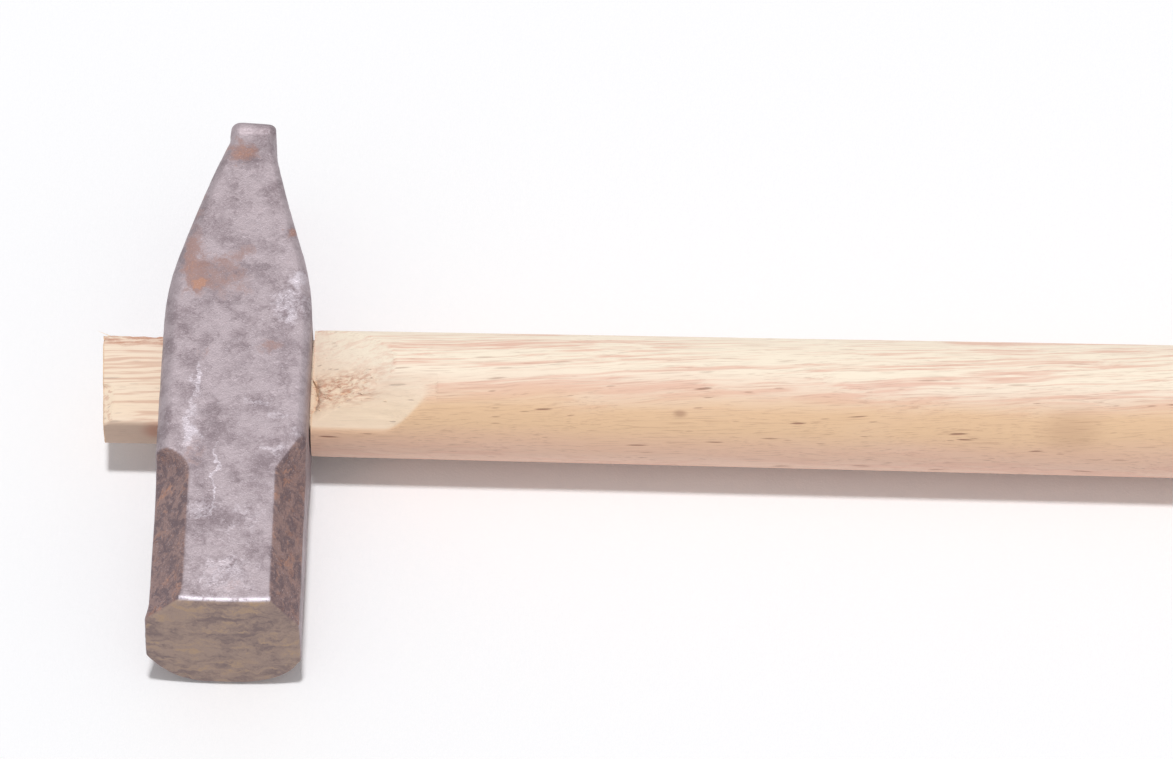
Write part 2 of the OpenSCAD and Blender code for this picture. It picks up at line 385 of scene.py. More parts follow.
def spokes(along, around, half_y, half_z):
    """Rays out of the haft's axis at each place along it: where they start, and their reach."""
    turn = np.linspace(0, 2 * np.pi, around, endpoint=False)
    start = np.zeros((len(along), around, 3)) + AXIS
    start[..., 0] = along[:, None]
    reach = np.zeros_like(start)
    reach[..., 1] = half_y * np.sin(turn)
    reach[..., 2] = half_z * np.cos(turn)
    return start, reach


def skin(rings):
    """Points and faces of a closed skin over rings of points, closed by a middle point at each end."""
    count, around = rings.shape[:2]
    here = np.arange(around)
    there = np.roll(here, -1)
    faces = []
    for row in range(count - 1):
        low, high = row * around, (row + 1) * around
        faces += np.stack([low + here, low + there, high + there, high + here], axis=1).tolist()
    first, last, top = count * around, count * around + 1, (count - 1) * around
    faces += [[first, t, h] for h, t in zip(here.tolist(), there.tolist())]
    faces += [[last, top + h, top + t] for h, t in zip(here.tolist(), there.tolist())]
    points = np.vstack([rings.reshape(-1, 3), rings[0].mean(axis=0), rings[-1].mean(axis=0)])
    return points, faces


def make_piece(name, points, faces, marks):
    """A mesh object, with named values on its points for its material to read."""
    mesh = bpy.data.meshes.new(name)
    mesh.from_pydata(points.tolist(), [], faces)
    for mark, values in marks.items():
        mesh.attributes.new(mark, "FLOAT", "POINT").data.foreach_set("value", values.astype(np.float32))
    shell = bmesh.new()
    shell.from_mesh(mesh)
    bmesh.ops.recalc_face_normals(shell, faces=shell.faces)
    shell.to_mesh(mesh)
    shell.free()
    mesh.shade_smooth()
    piece = bpy.data.objects.new(name, mesh)
    bpy.context.scene.collection.objects.link(piece)
    return piece


def press_in(piece, dents):
    """Moves each point of a piece into it by its dent, but never below the floor."""
    mesh = piece.data
    points = np.zeros(len(mesh.vertices) * 3)
    normals = np.zeros_like(points)
    mesh.vertices.foreach_get("co", points)
    mesh.vertex_normals.foreach_get("vector", normals)
    points, normals = points.reshape(-1, 3), normals.reshape(-1, 3)
    points -= normals * np.maximum(dents(points), 0)[:, None]
    points[:, 2] = np.maximum(points[:, 2], 0)
    mesh.vertices.foreach_set("co", points.ravel())
    mesh.update()


def cut_out(piece, cutter):
    """Cuts the cutter's shape out of a piece, and removes the cutter."""
    cut = piece.modifiers.new("cut", "BOOLEAN")
    cut.object, cut.operation, cut.solver = cutter, "DIFFERENCE", "EXACT"
    whole = piece.evaluated_get(bpy.context.evaluated_depsgraph_get())
    piece.data = bpy.data.meshes.new_from_object(whole)
    piece.modifiers.clear()
    bpy.data.objects.remove(cutter)
    piece.data.set_sharp_from_angle(angle=SMOOTH_FOLD)


def bar(name, low, high, corner_r):
    """A bar along X with rounded long edges, between two corners."""
    turn = np.linspace(0, 2 * np.pi, BAR_SIDES, endpoint=False)
    middle, half = (np.array(low) + high) / 2, (np.array(high) - low) / 2
    start = np.zeros((2, len(turn), 3)) + middle
    start[:, :, 0] = np.array([low[0], high[0]])[:, None]
    reach = np.stack([0 * turn, half[1] * np.cos(turn), half[2] * np.sin(turn)], axis=-1) + 0 * start

    def depth(p):
        off = np.abs(p - middle) - half
        return round_off(off[..., 1], off[..., 2], corner_r)

    return make_piece(name, *skin(cast(depth, start, reach)), {})


class HeadShape:
    """The depth of any point below the head's surfaces, negative inside."""

    # Where the flanks come down to the peen's width, and how far the peen's lip stands out
    FLANK_END, LIP_PROUD = 51 * MM, 0.15 * MM
    # Depth and length of the groove behind the lip, and how sharply it ends there
    GROOVE, GROOVE_LENGTH, GROOVE_END = 0.4 * MM, 8 * MM, 0.5 * MM
    # How much sharper the long edges get towards the peen, and how much rounder they are on the left
    EDGE_SHARPER, EDGE_ROUNDER = 0.8 * MM, 0.7 * MM
    # Radius of the crowned face's foot, and how far back the spread metal behind the face goes
    FACE_CURVE, SPREAD_LENGTH = 16 * MM, 6 * MM
    # Slope of the peen's end across the head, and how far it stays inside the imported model
    PEEN_SLOPE, PEEN_BACK = 0.06, 0.3 * MM
    # The two legs of each corner bevel, along X and Z, by the signs of the corner's X and Z
    BEVELS = {
        (-1, 1): (6.6 * MM, 7.3 * MM), (1, 1): (5.5 * MM, 8.4 * MM),
        (-1, -1): (7.6 * MM, 7.7 * MM), (1, -1): (7.2 * MM, 6 * MM),
    }
    # Where the left bevels stop, the length and depth of their scoop, and a depth that ends them
    STOP, RUNOUT, SCOOP, ENDED = 21.9 * MM, 5.5 * MM, 5 * MM, 20 * MM
    # Where the right bevels begin to run out, how far that line slants, and their slope from there
    RIDGE, RIDGE_SKEW, RAMP = 26.2 * MM, 2.6 * MM, 0.51
    # Radius of the edges beside a bevel, and what is added to it low down, both in millimetres
    BEVEL_EDGE, LOW_EDGE = 0.6, 2.8
    # Radius of the edges round both ends, and the band of heights that leads to low down
    RIM, LOW_DOWN = 1.1 * MM, (-4 * MM, -8 * MM)
    # Where the rings start behind the face, how many are close there, and how far apart they are
    FACE_START, FACE_RINGS, FACE_STEP = 0.4 * MM, 8, 0.15 * MM
    # Where the wide spacing starts behind those, where the rings stop, and how many are close there
    WIDE_START, PEEN_STOP, PEEN_RINGS = 1.3 * MM, 0.8 * MM, 7
    # How far behind the face its slant still tilts the rings
    SLANT_LENGTH = 9 * MM
    # Rings over each end, in shares of the way to its rim, and how far out their rays look
    CAP_SHARES = (*np.linspace(0.04, 0.8, 20), *np.linspace(0.83, 0.985, 9))
    CAP_REACH = 3 * MM
    # Bands over which each mark fades in or out
    BEVEL_FADE, FACE_FADE = (-0.35 * MM, 0.05 * MM), (-0.5 * MM, 0.1 * MM)
    RIM_IN, RIM_OUT, TOP_FADE = (-1.6 * MM, -0.7 * MM), (0.2 * MM, -0.4 * MM), (4 * MM, 8 * MM)
    # Depth, size, octaves and seed of the dents. Chips and pits also have a level, and chips a band.
    BROAD_DENTS, SMALL_DENTS = (0.07 * MM, 11 * MM, 2, 1), (0.035 * MM, 3.2 * MM, 3, 2)
    CHIPS, PITS = (0.35 * MM, 2.6 * MM, 2, 4, 0.25), (0.06 * MM, 1.1 * MM, 2, 8, 0.2)
    CHIPPED_BAND = (0.9 * MM, 0.1 * MM)

    def __init__(self, sizes):
        self.s = sizes
        self.neck = HEAD_HIGH.y - sizes.lip
        self.flank = np.arctan((sizes.width - sizes.peen_w) / 2 / (self.FLANK_END - sizes.shoulder))
        self.face_edge = HEAD_LOW.y + sizes.crown

    def half_width(self, y):
        """Half the head's width at each place along it."""
        s, half = self.s, self.s.width / 2
        run = s.shoulder_r * np.tan(self.flank / 2)
        before, after = s.shoulder - run, s.shoulder + run * np.cos(self.flank)
        curve = half - s.shoulder_r + np.sqrt(np.maximum(s.shoulder_r**2 - (y - before) ** 2, 0))
        straight = half - (y - s.shoulder) * np.tan(self.flank)
        wide = np.where(y <= before, half, np.where(y <= after, curve, straight))
        return np.maximum(wide, s.peen_w / 2 + self.LIP_PROUD * smooth(self.neck - MM, self.neck, y))

    def lean(self, y):
        """How far the peen leans towards the haft, at each place along the head."""
        return self.s.lean * np.maximum(0, (y - self.s.shoulder) / (HEAD_HIGH.y - self.s.shoulder)) ** 4

    def bevels(self, x, y, z, half):
        """The depth below the nearest corner bevel. X is counted from the leaning middle."""
        nearest = np.full(x.shape, -1.0)
        for (right, up), (leg_x, leg_z) in self.BEVELS.items():
            inward, down = half - right * x, HALF_HEIGHT - up * z
            flat = (1 - inward / leg_x - down / leg_z) * leg_x * leg_z / np.hypot(leg_x, leg_z)
            if right < 0:
                run = np.clip((y + self.STOP + self.RUNOUT) / self.RUNOUT, 0, 1)
                flat = flat - self.SCOOP * (1 - np.sqrt(1 - run**2)) - self.ENDED * (run >= 1)
            else:
                ridge = -self.RIDGE + self.RIDGE_SKEW * np.clip(down / leg_z, 0, 1)
                flat = flat - self.RAMP * np.maximum(0, y - ridge)
            nearest = np.maximum(nearest, flat)
        return nearest

    def parts(self, p):
        """The depth below the long faces, the corner bevels, the striking face and the peen's end."""
        s, neck = self.s, self.neck
        x, y, z = p[..., 0], p[..., 1], p[..., 2] - AXIS[2]
        across = x - self.lean(y)
        near = np.maximum(0, 1 - (y - self.face_edge) / self.SPREAD_LENGTH) ** 2
        half = self.half_width(y) + near * np.where(x < 0, s.spread_left, s.spread_right)
        groove = self.GROOVE * smooth(neck - self.GROOVE_LENGTH, neck - MM, y)
        groove = groove * smooth(neck, neck - self.GROOVE_END, y)
        worn = s.edge_r - self.EDGE_SHARPER * smooth(s.shoulder, HEAD_HIGH.y, y)
        worn = worn + self.EDGE_ROUNDER * (x < 0)
        body = round_off(np.abs(across) - half, np.abs(z) - HALF_HEIGHT + groove, worn)
        bulge = s.crown * (1 - (x**2 + z**2) / self.FACE_CURVE**2)
        face = self.face_edge + s.slant * (z + HALF_HEIGHT) / (2 * HALF_HEIGHT) - bulge - y
        peen = y - HEAD_HIGH.y + self.PEEN_SLOPE * across + self.PEEN_BACK
        return body, self.bevels(across, y, z, half), face, peen

    def depth(self, p):
        """The depth below all of them, with rounded edges between."""
        body, bevel, face, peen = self.parts(p)
        low = smooth(*self.LOW_DOWN, p[..., 2] - AXIS[2])
        long_way = round_off(body, bevel, (self.BEVEL_EDGE + self.LOW_EDGE * low) * MM)
        return round_off(round_off(long_way, face, self.RIM), peen, self.RIM)

    def marks(self, p):
        """Where the head shows its bevels, its striking face, and the bright rim along the face's top,
        which is partly rubbed steel and partly a painted highlight of the overhead light.
        """
        body, bevel, face, _ = self.parts(p)
        ahead = face - np.maximum(body, bevel)
        rim = smooth(*self.RIM_IN, ahead) * smooth(*self.RIM_OUT, ahead)
        # Only the top of the rim, towards the overhead light, carries its painted highlight
        on_top = smooth(*self.TOP_FADE, p[:, 2] - AXIS[2]) * (bevel < body)
        return {
            "bevel": smooth(*self.BEVEL_FADE, bevel - body),
            "face": smooth(*self.FACE_FADE, ahead),
            "rim": rim * on_top,
        }

    def dents(self, p):
        """Relief of hammered scale, with pits, and with chips where the face meets the long sides."""
        body, _, face, _ = self.parts(p)
        worn = waves(p, *self.BROAD_DENTS) + waves(p, *self.SMALL_DENTS)
        chips = np.maximum(0, waves(p, *self.CHIPS)) * smooth(*self.CHIPPED_BAND, np.abs(body - face))
        return worn + chips + np.maximum(0, waves(p, *self.PITS))

    def rings(self, step=0.4 * MM, around=360):
        """Rings of surface points, from the middle of the face to the middle of the peen's end."""
        turn = np.linspace(0, 2 * np.pi, around, endpoint=False)
        face, peen = self.face_edge + self.FACE_START, HEAD_HIGH.y - self.PEEN_STOP
        along = np.concatenate([
            face + np.arange(0, self.FACE_RINGS) * self.FACE_STEP,
            np.arange(face + self.WIDE_START, peen - MM, step),
            np.linspace(peen - MM, peen, self.PEEN_RINGS),
        ])
        tilt = self.s.slant / 2 * np.maximum(0, 1 - (along - face) / self.SLANT_LENGTH)[:, None]
        start = np.zeros((len(along), around, 3)) + AXIS
        start[..., 0] = self.lean(along)[:, None]
        start[..., 1] = along[:, None] + tilt
        reach = np.zeros_like(start)
        reach[..., 0] = self.half_width(along)[:, None] * np.sin(turn)
        reach[..., 1] = tilt * np.cos(turn)
        reach[..., 2] = HALF_HEIGHT * np.cos(turn)
        sides = cast(self.depth, start, reach)
        return np.concatenate([self.cap(sides[0], -1), sides, self.cap(sides[-1], 1)[::-1]])

    def cap(self, rim, way):
        """Rings over one end, from its middle out to the rim."""
        start = disc(rim, self.CAP_SHARES)
        reach = np.zeros_like(start)
        reach[..., 1] = way * self.CAP_REACH
        return cast(self.depth, start, reach)


class HaftShape:
    """The depth of any point below the haft's surfaces, negative inside."""

    # Where the knife chip starts and ends, and a depth that ends it
    CHIP_START, CHIP_END, CHIP_ENDED = 29 * MM, 39.5 * MM, 8 * MM
    # The chip's turn about the haft, how much of it is lost, and half its width, in degrees
    CHIP_TURN, CHIP_TURNED, CHIP_HALF = 41, 17, 27
    # How much shallower the chip gets towards its end
    CHIP_NARROWS = 0.85
    # How far the whittled flats stand above the tenon, their steepness, and how they run out
    FLAT_PROUD, FLAT_SCALE, FLAT_ENDED, FLAT_RUNOUT = 1.2 * MM, 0.92, 6 * MM, 4 * MM
    # Radius of the edges that the knife leaves
    CUT_EDGE = 0.2 * MM
    # The chamfer on the tenon's near top edge: its length, its slopes and where it ends
    CHAMFER, CHAMFER_ALONG, CHAMFER_UP, CHAMFER_ACROSS = 2.4 * MM, 0.5, 0.85, 0.02
    CHAMFER_Y, CHAMFER_BAND, CHAMFER_ENDED = 3 * MM, (-2 * MM, 2 * MM), 20 * MM
    # Spacing of the rings, where it changes, how many round off the butt, and the rings over an end
    FINE_STEP, FINE_END, LONG_STEP, BUTT_RINGS = 0.35 * MM, 46 * MM, 1.6 * MM, 9
    END_SHARES = np.linspace(0.05, 0.97, 16)
    # Slant of the sawn end, how far back it moves the rings, and what still counts as end grain
    SAW_SLANT, SAW_LENGTH = 1.1 * MM, 12 * MM
    END_SLANT, END_DEPTH, BUTT_DEPTH = 1.12 * MM, 0.08 * MM, 0.1 * MM
    # Bands over which the torn wood beside the head fades, across and along the haft
    TORN_NEAR, TORN_FAR, TORN_ALONG = (-9 * MM, -5 * MM), (1.5 * MM, -2 * MM), (32 * MM, 22 * MM)
    # The ragged far edge of the tenon: its band, and the cloud that makes it uneven
    RAGGED, RAGGED_CLOUD = (7 * MM, 8.6 * MM), (0.8 * MM, 4 * MM, 2, 3)
    # How deep below the round stock the wood starts to look cut, and looks wholly cut
    CUT_FADE = (0.1 * MM, 0.4 * MM)
    # Size, octaves and seed of the relief along the grain and of the finer relief
    GRAIN = ((6 * MM, 0.8 * MM, 0.8 * MM), 4, 5)
    FINE = ((1.5 * MM, 0.5 * MM, 0.5 * MM), 3, 6)
    # The hollow beside the head: its length, its depth and its bands across the haft
    HOLLOW_LENGTH, HOLLOW = 1.9 * MM, 2 * MM
    HOLLOW_NEAR, HOLLOW_FAR = (-8.5 * MM, -5.5 * MM), (0, -2 * MM)
    # The slit in the whittled flat: its middle, its depth, and how it fades along and across
    SLIT_X, SLIT_Y, SLIT = 21.6 * MM, -4.6 * MM, 0.7 * MM
    SLIT_ALONG, SLIT_ACROSS = (1.4 * MM, 0.4 * MM), (0.35 * MM, 0)
    # Depth of the relief of plain, cut, torn and finely torn wood, and of end grain
    PLAIN, CUT, TORN, TORN_FINE, SAWN = 0.02 * MM, 0.06 * MM, 0.3 * MM, 0.12 * MM, 0.1 * MM
    # What is added to the relief along the grain where the wood is torn, and the hollow's own unevenness
    TORN_LEVEL, HOLLOW_LEVEL, HOLLOW_FINE = 0.8, 0.8, 0.5

    def __init__(self, sizes):
        self.s = sizes

    def radius(self, x):
        """The haft's radius at each place along it."""
        neck_r = self.s.neck_d / 2
        return neck_r + (GRIP_R - neck_r) * np.clip((x - self.s.shoulder) / self.s.taper, 0, 1)

    def round_part(self, p):
        """The depth below the round stock with its whittled flats and the knife chip."""
        s = self.s
        x, y, z = p[..., 0], p[..., 1], p[..., 2] - AXIS[2]
        r = self.radius(x) - np.maximum(0, x - HAFT_HIGH.x + s.butt_bevel)
        out = x - s.shoulder
        rise = (s.neck_d - s.tenon_t) / 2 / s.whittled
        knife = (np.abs(z) - s.tenon_t / 2 - self.FLAT_PROUD - out * rise) * self.FLAT_SCALE
        knife = knife - self.FLAT_ENDED * smooth(s.whittled - MM, s.whittled + self.FLAT_RUNOUT, out)
        late = smooth(self.CHIP_START, self.CHIP_END, x)
        turned = np.radians(self.CHIP_TURN - self.CHIP_TURNED * late)
        half = np.radians(self.CHIP_HALF * np.sqrt(1 - self.CHIP_NARROWS * late))
        chip = z * np.cos(turned) - y * np.sin(turned) - r * np.cos(half)
        chip = chip - self.CHIP_ENDED * (x > self.CHIP_END)
        return round_off(round_off(np.hypot(y, z) - r, knife, self.CUT_EDGE), chip, self.CUT_EDGE)

    def tenon(self, p):
        """The depth below the flat tenon, whose near top edge is chamfered at its end."""
        s = self.s
        y, z = p[..., 1], p[..., 2] - AXIS[2]
        up = z - s.tenon_t / 2
        chamfer = self.CHAMFER_ALONG * (HAFT_LOW.x + self.CHAMFER - p[..., 0]) + self.CHAMFER_UP * up
        chamfer = chamfer + self.CHAMFER_ACROSS * (y + self.CHAMFER_Y)
        block = round_off(np.abs(y) - s.tenon_w / 2, np.abs(z) - s.tenon_t / 2, s.tenon_r)
        return np.maximum(block, chamfer - self.CHAMFER_ENDED * smooth(*self.CHAMFER_BAND, y))

    def rings(self, around=180):
        """Rings of surface points, from the tenon's sawn end to the butt."""
        s, edge_start = self.s, HAFT_HIGH.x - 2 * self.s.butt_bevel
        bare = np.arange(HAFT_LOW.x, s.shoulder, self.FINE_STEP)
        along = np.concatenate([
            np.arange(s.shoulder, self.FINE_END, self.FINE_STEP),
            np.arange(self.FINE_END, edge_start, self.LONG_STEP),
            np.linspace(edge_start, HAFT_HIGH.x, self.BUTT_RINGS),
        ])
        stub = cast(self.tenon, *spokes(bare, around, s.tenon_w / 2, s.tenon_t / 2))
        slant = np.maximum(0, 1 - (bare - HAFT_LOW.x) / self.SAW_LENGTH)[:, None]
        stub[..., 0] += slant * self.SAW_SLANT * (0.5 - stub[..., 1] / s.tenon_w)
        stock = cast(self.round_part, *spokes(along, around, s.neck_d / 2, s.neck_d / 2))
        ends = disc(stub[0], self.END_SHARES), disc(stock[-1], self.END_SHARES)
        return np.concatenate([ends[0], stub, stock, ends[1][::-1]])

    def marks(self, p):
        """Where the wood is end grain, tenon, fresh from the knife, or torn."""
        s = self.s
        x, y, z = p[:, 0], p[:, 1], p[:, 2] - AXIS[2]
        sawn = x < HAFT_LOW.x + self.END_SLANT * (0.5 - y / s.tenon_w) + self.END_DEPTH
        below = np.where(x > s.shoulder, self.radius(x) - np.hypot(y, z), 0)
        torn = smooth(*self.TORN_NEAR, y) * smooth(*self.TORN_FAR, y) * smooth(*self.TORN_ALONG, x)
        torn = torn * (z > 0) * (x > s.shoulder)
        uneven, size, octaves, seed = self.RAGGED_CLOUD
        ragged = smooth(*self.RAGGED, y + uneven * cloud(p, size, octaves, seed))
        ragged = ragged * (z > 0) * (x < s.shoulder)
        return {
            "end": (sawn | (x > HAFT_HIGH.x - self.BUTT_DEPTH)) * 1.0,
            "cut": smooth(*self.CUT_FADE, below),
            "torn": np.maximum(torn, ragged),
            "tenon": (x < s.shoulder) * 1.0,
        }

    def dents(self, p):
        """Relief of torn and sawn wood, the slit, and the hollow beside the head."""
        marks, shoulder = self.marks(p), self.s.shoulder
        along, fine = cloud(p, *self.GRAIN), cloud(p, *self.FINE)
        x, y, upper = p[:, 0], p[:, 1], p[:, 2] > AXIS[2]
        hollow = smooth(shoulder + self.HOLLOW_LENGTH, shoulder, x) * (x >= shoulder) * upper
        hollow = hollow * smooth(*self.HOLLOW_NEAR, y) * smooth(*self.HOLLOW_FAR, y)
        hollow = hollow * (self.HOLLOW_LEVEL + self.HOLLOW_FINE * fine)
        slit = smooth(*self.SLIT_ALONG, np.abs(x - self.SLIT_X)) * upper
        slit = slit * smooth(*self.SLIT_ACROSS, np.abs(y - self.SLIT_Y))
        plain = (self.PLAIN + marks["cut"] * self.CUT) * (1 + along)
        torn = marks["torn"] * (self.TORN * (self.TORN_LEVEL + along) + self.TORN_FINE * fine)
        return plain + torn + self.HOLLOW * hollow + self.SLIT * slit + marks["end"] * self.SAWN * fine


def fibre(base, tip, width, bend, count=7, around=6, flatness=0.45, blunt=0.05):
    """Rings of one raised wood fibre, from its foot in the wood to its fine, slightly blunt tip."""
    base, tip, bend = np.array(base), np.array(tip), np.array(bend)
    share = np.linspace(0, 1, count)[:, None]
    line = base + (tip - base) * share + bend * 4 * share * (1 - share)
    way = (tip - base) / np.linalg.norm(tip - base)
    across = np.cross(way, NO_FIBRE_WAY)
    across = across / np.linalg.norm(across)
    up = np.cross(way, across)
    turn = np.linspace(0, 2 * np.pi, around, endpoint=False)[:, None]
    oval = across * np.cos(turn) + flatness * up * np.sin(turn)
    return line[:, None, :] + oval[None] * (width / 2 * (1 + blunt - share))[..., None]


def steel_paint(finishes):
    """Forge scale with rust, rubbed patches and pits, for the hammer head, with painted glints in its
    specks and a bright rim along the face's top that is partly a painted highlight.
    """
    material, p = new_paint("worn_forged_steel")
    f, place = finishes, p.place()
    bent = p.vector("ADD", place, p.wander(place, *BENDING))
    broad, blotch = p.noise(place, *SCALE_CLOUDS), p.noise(bent, *SCALE_BLOTCHES)
    grain, speck = p.noise(place, *SCALE_GRAIN), p.noise(place, *SCALE_SPECKS)
    rusty, rubbed = p.patches(bent, RUST_PATCHES), p.patches(bent, RUBBED_PATCHES)
    rust = p.ramp(0.55 * blotch + 0.3 * broad + rusty, 0.5, 0.72)
    bright = p.ramp(0.6 * grain + rusty, 0.56, 0.8)
    pale = p.ramp(0.5 * blotch + 0.35 * grain + 0.8 * rubbed, 0.5, 0.82)
    bevel, face, rim = p.mark("bevel"), p.mark("face"), p.mark("rim")
    plain = p.layer(
        f.steel_dark,
        (p.ramp(0.6 * broad + 0.4 * blotch, 0.36, 0.58), f.steel),
        (0.55 * pale, f.steel_pale),
        (0.6 * rust, f.rust),
        (0.5 * bright * rust, f.rust_bright),
    )
    brown = p.layer(
        f.bevel_dark,
        (p.ramp(blotch, 0.4, 0.6), f.bevel),
        (0.45 * p.ramp(p.noise(bent, *BEVEL_VEINS), 0.52, 0.72), f.rust_bright),
    )
    streak = p.noise(p.vector("ADD", bent, STREAK_STEP), *FACE_STREAKS)
    olive = p.layer(
        f.face_dark,
        (p.ramp(0.6 * streak + 0.4 * broad, 0.38, 0.56), f.face),
        (0.55 * p.ramp(streak, 0.52, 0.7), f.face_ochre),
    )
    steel = p.layer(
        plain,
        (bevel, brown),
        (face, olive),
        # The bright rim along the face's top: partly rubbed steel, partly a painted highlight
        (0.8 * rim * p.ramp(blotch, 0.3, 0.5), f.steel_pale),
        (p.ramp(speck, 0.42, 0.3) * 0.22, f.bevel_dark),
        # Painted glints: pale specks of sparkle on the scale, kept off the striking face
        (p.ramp(speck, 0.6, 0.72) * 0.35 * (1 - face), f.steel_pale),
    )
    dull = rust | bevel * 0.7 | face * 0.8
    rough = 0.52 + 0.22 * dull - 0.16 * pale
    height = 0.45 * blotch + 0.35 * grain + 0.2 * speck
    p.finish(steel, 0.6 - 0.4 * dull, rough, height, STEEL_RELIEF)
    return material


def wood_paint(finishes, name="haft_wood_grain"):
    """Pale hardwood with slanting pink grain, brown pores, knife cuts and torn fibres, a painted sheen
    along the top and painted shade on the tenon's near side.
    """
    material, p = new_paint(name)
    f, place = finishes, p.place()
    turned = {"Vector": place, "Angle": GRAIN_SLANT}
    sway = p.wander(place, *SWAYING)
    flow = p.vector("ADD", p.node("VectorRotate", {"rotation_type": "Z_AXIS"}, turned), sway)
    uneven = p.vector("ADD", place, p.vector("MULTIPLY", sway, (0, 1.2, 1.2)))
    # How far each point lies towards the pale top, where the paint lays a painted sheen of the overhead
    # light over the wood's own pale tone
    side = p.vector("DOT_PRODUCT", uneven, tuple(part / (GRIP_R / MM) for part in PALE_SHEEN_SIDE), "Value")
    bands, lines = p.noise(flow, *GRAIN_BANDS), p.noise(flow, *GRAIN_LINES)
    fine = p.noise(flow, *GRAIN_FINE)
    wide = p.ramp(p.noise(place, *WOOD_TONE), 0.4, 0.6)
    low = p.ramp(side, 0.72, 0.3) * p.ramp(side, -0.75, -0.2)
    # Pores show less along the top, where the painted sheen washes them out
    shown = 0.3 + 0.7 * p.ramp(side, 0.95, 0.45)
    pores = p.spots(flow, *PORES) * shown
    pores = pores | 0.55 * p.spots(p.vector("ADD", flow, PORE_STEP), *SHORT_PORES) * shown
    knot = p.patch(place, *KNOT) | 0.45 * p.patch(place, *STREAK)
    cut, torn, end, tenon = p.mark("cut"), p.mark("torn"), p.mark("end"), p.mark("tenon")
    shaded_near_side = p.ramp(p.vector("DOT_PRODUCT", place, (0, 1, 0), "Value"), *SHADED_NEAR_SIDE)
    stain = p.patch(place, *TENON_STAIN)
    ragged = torn * p.ramp(p.noise(flow, *TORN_EDGE), 0.4, 0.62)
    across = p.blend(p.ramp(p.noise(place, *SAWN_END), 0.4, 0.6), f.wood_end, f.wood_tan)
    wood = p.layer(
        f.wood_cream,
        (p.ramp(0.5 * bands + 0.5 * lines, 0.46, 0.6) * 0.9, f.wood_pink),
        # These bands follow the side: cream along the top is partly the wood's pale tone and partly a
        # painted sheen, and the pink and tan below it are the wood's own
        (p.ramp(side, 0.86, 0.5) * 0.45, f.wood_pink),
        (low * (0.55 + 0.45 * wide), f.wood_tan),
        (p.ramp(side, 0.1, -0.35) * 0.6, f.wood_pink),
        (p.ramp(fine, 0.5, 0.7) * 0.3, f.wood_pore),
        (0.85 * pores, f.wood_pore),
        (0.55 * knot, f.wood_pore),
        (0.55 * cut | 0.6 * tenon, f.wood_cream),
        # Painted shade: the tenon's near side darkened with the pore brown
        (0.4 * tenon * shaded_near_side, f.wood_pore),
        (tenon * (1 - shaded_near_side) * p.ramp(lines, 0.5, 0.62) * 0.36, f.wood_stain),
        (0.6 * (ragged | stain * 0.9), f.wood_stain),
        (end, p.blend(0.6 * p.spots(place, *CUT_FIBRES), across, f.wood_pore)),
    )
    rough = 0.62 + 0.2 * (torn | end)
    p.finish(wood, 0.0, rough, 0.5 * fine + 0.5 * lines - 0.8 * pores, WOOD_RELIEF)
    return material


def iron_paint(finishes):
    """Dark hammered iron with a little rust, for the wedge."""
    material, p = new_paint("wedge_iron_scale")
    place = p.place()
    blotch, grain = p.noise(place, *IRON_BLOTCHES), p.noise(place, *IRON_GRAIN)
    rust = p.ramp(blotch, 0.5, 0.7)
    bare = 0.5 * p.ramp(grain, 0.58, 0.7)
    iron = p.layer(finishes.iron, (0.7 * rust, finishes.rust), (bare, finishes.steel_pale))
    p.finish(iron, 0.5 - 0.3 * rust, 0.5 + 0.2 * grain, blotch, IRON_RELIEF)
    return material


def dress(piece, material, node=None):
    """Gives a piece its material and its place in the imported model."""
    piece.data.materials.clear()
    piece.data.materials.append(material)
    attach(piece, "root")
    if node:
        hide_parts(node)


class HAMMER_OT_head(bpy.types.Operator):
    """Builds the forged head with its eye, bevels and worn face"""

    bl_idname = "hammer.head"
    bl_label = "Forge the head"
    # How far the eye's cutter reaches to each side, well past the head's flanks
    EYE_REACH = HEAD_HIGH.y

    def execute(self, context):
        shape, haft = HeadShape(context.scene.hammer_head), context.scene.hammer_haft
        points, faces = skin(shape.rings())
        head = make_piece("forged_head", points, faces, shape.marks(points))
        press_in(head, shape.dents)
        half_w, half_t = haft.tenon_w / 2 + haft.gap, haft.tenon_t / 2 + haft.gap
        low = (-self.EYE_REACH, -half_w, AXIS[2] - half_t)
        high = (self.EYE_REACH, half_w, AXIS[2] + half_t)
        cut_out(head, bar("eye_cutter", low, high, haft.tenon_r + haft.gap))
        dress(head, steel_paint(context.scene.hammer_finishes), "hammer_head")
        return {"FINISHED"}


class HAMMER_OT_haft(bpy.types.Operator):
    """Builds the round haft with its whittled neck and sawn tenon"""

    bl_idname = "hammer.haft"
    bl_label = "Shape the haft"
    # Room round the wedge, how far its pocket is cut past the tenon's end, and the pocket's corners
    ROOM, PAST_END, CORNER = 0.05 * MM, 2 * MM, 0.3 * MM

    def execute(self, context):
        shape = HaftShape(context.scene.hammer_haft)
        points, faces = skin(shape.rings())
        haft = make_piece("wooden_haft", points, faces, shape.marks(points))
        press_in(haft, shape.dents)
        low = (WEDGE_LOW.x - self.PAST_END, WEDGE_LOW.y - self.ROOM, WEDGE_LOW.z - self.ROOM)
        high = (WEDGE_HIGH.x + self.ROOM, WEDGE_HIGH.y + self.ROOM, WEDGE_HIGH.z + self.ROOM)
        cut_out(haft, bar("wedge_cutter", low, high, self.CORNER))
        dress(haft, wood_paint(context.scene.hammer_finishes), "haft")
        return {"FINISHED"}


